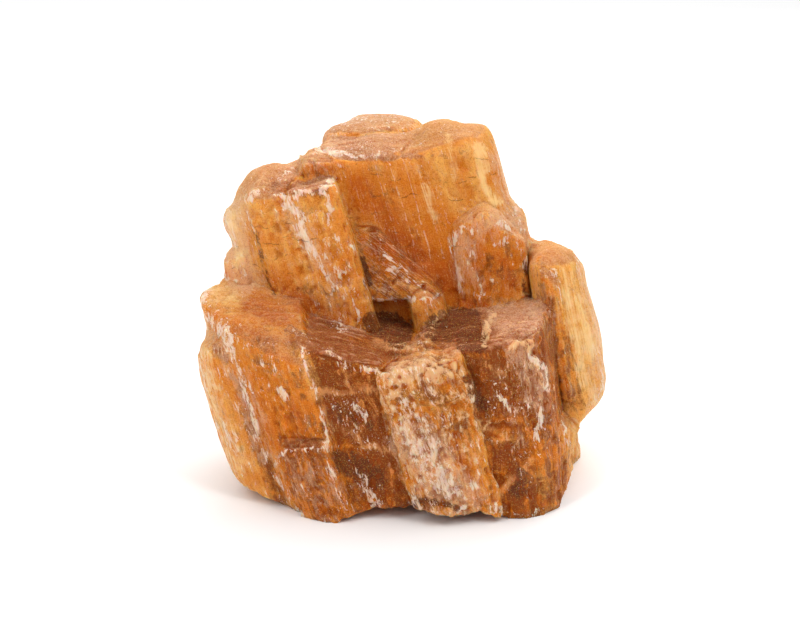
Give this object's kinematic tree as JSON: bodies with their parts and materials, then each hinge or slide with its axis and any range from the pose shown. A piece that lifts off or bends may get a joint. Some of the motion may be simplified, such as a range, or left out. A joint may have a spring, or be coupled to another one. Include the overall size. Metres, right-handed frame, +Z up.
{
  "type": "orange selenite crystal cluster",
  "caption": "Hand-size cluster of leaning blocky selenite crystals, translucent orange to brown, with broken stepped tops and a flat foot to stand on.",
  "frame": {"origin": "on the ground under the middle of the cluster's box", "axes": "+Z up, -Y towards the front of the picture, +X to its right; the crystals lean towards -X"},
  "size_m": [0.08, 0.0598, 0.0688],
  "materials": {
    "orange_selenite": "translucent, waxy to pearly on the cleavage faces and rough on the breaks"
  },
  "bodies": {
    "root": {"selenite_cluster": "orange_selenite"}
  },
  "joints": []
}
